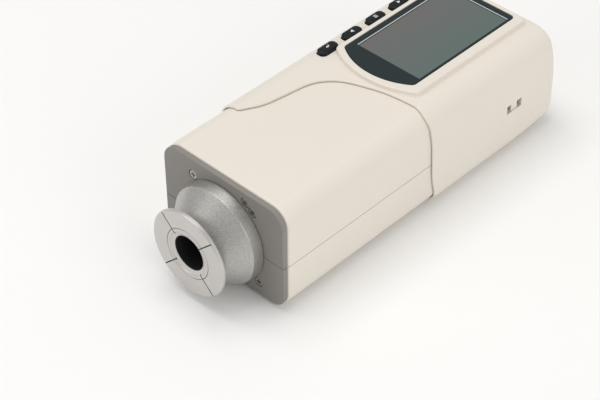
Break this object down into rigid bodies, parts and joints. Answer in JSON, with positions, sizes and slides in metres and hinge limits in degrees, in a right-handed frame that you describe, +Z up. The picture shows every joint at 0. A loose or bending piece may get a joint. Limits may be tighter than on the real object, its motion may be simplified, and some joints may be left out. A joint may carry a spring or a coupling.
{
  "type": "handheld colorimeter",
  "caption": "Handheld sphere colorimeter: two-part grip, wrapped head with display and keys, round measuring dome with a central aperture, side measuring button and power slide.",
  "frame": {"origin": "centre of the footprint's box, on the surface that the underside of the head rests on", "axes": "-Y is the way the measuring aperture looks, +Z is up and out of the screen, +X is the side with the lanyard slot, seen at the right from behind the screen's far end"},
  "size_m": [0.0736, 0.2028, 0.058],
  "materials": {
    "cream_plastic": "fine satin texture",
    "plate_grey": "fine matt texture",
    "silver_paint": "metallic silver paint",
    "satin_silver": "satin",
    "white_coating": "matt white diffuse coating",
    "black_plastic": "matt",
    "key_rubber": "satin",
    "steel": "nickel plated",
    "window_glass": "gloss, dark printed border",
    "lens_glass": "clear",
    "screen_grey": "gloss",
    "board_green": "solder mask",
    "battery_wrap": "shrink wrap",
    "lamp_white": "clear dome"
  },
  "bodies": {
    "root": {"grip_upper_shell": "cream_plastic", "grip_lower_shell": "cream_plastic", "head_housing": "cream_plastic", "battery_cover": "cream_plastic", "end_plate_upper": "plate_grey", "end_plate_lower": "plate_grey", "measuring_dome": "silver_paint", "locating_disc": "satin_silver", "aperture_ring": "satin_silver", "sphere_front": "white_coating", "sphere_rear": "white_coating", "sensor_barrel": "black_plastic", "collecting_lens": "lens_glass", "sensor_board": "board_green", "sensor_chip": "black_plastic", "lamp": "lamp_white", "lamp_board": "board_green", "optics_bracket": "black_plastic", "main_board": "board_green", "shield_can": "steel", "usb_socket": "steel", "battery_pack": "battery_wrap", "display_board": "board_green", "lcd_module": "screen_grey", "display_window": "window_glass", "key_switch_1": "black_plastic", "key_switch_2": "black_plastic", "key_switch_3": "black_plastic", "key_switch_4": "black_plastic", "measure_switch": "black_plastic", "measure_board": "board_green", "power_switch_body": "steel", "plate_screw_1": "steel", "plate_screw_2": "steel", "plate_screw_3": "steel", "plate_screw_4": "steel", "plate_screw_5": "steel", "case_screw_1": "steel", "case_screw_2": "steel", "case_screw_3": "steel", "case_screw_4": "steel", "cover_screw_1": "steel", "cover_screw_2": "steel"},
    "enter": {"key_enter": "key_rubber"},
    "down": {"key_down": "key_rubber"},
    "up": {"key_up": "key_rubber"},
    "menu": {"key_menu": "key_rubber"},
    "trigger": {"measure_button": "cream_plastic"},
    "power": {"power_slider": "black_plastic"}
  },
  "joints": [
    {"name": "enter_press", "type": "slide", "parent": "root", "child": "enter", "axis": [0, 0, -1], "range_m": [0, 0.0007], "stiffness_N_per_m": 1500},
    {"name": "down_press", "type": "slide", "parent": "root", "child": "down", "axis": [0, 0, -1], "range_m": [0, 0.0007], "stiffness_N_per_m": 1500},
    {"name": "up_press", "type": "slide", "parent": "root", "child": "up", "axis": [0, 0, -1], "range_m": [0, 0.0007], "stiffness_N_per_m": 1500},
    {"name": "menu_press", "type": "slide", "parent": "root", "child": "menu", "axis": [0, 0, -1], "range_m": [0, 0.0007], "stiffness_N_per_m": 1500},
    {"name": "measure_press", "type": "slide", "parent": "root", "child": "trigger", "axis": [1, 0, 0], "range_m": [0, 0.0008], "stiffness_N_per_m": 2500},
    {"name": "power_slide", "type": "slide", "parent": "root", "child": "power", "axis": [0, 1, 0], "range_m": [0, 0.003]}
  ]
}
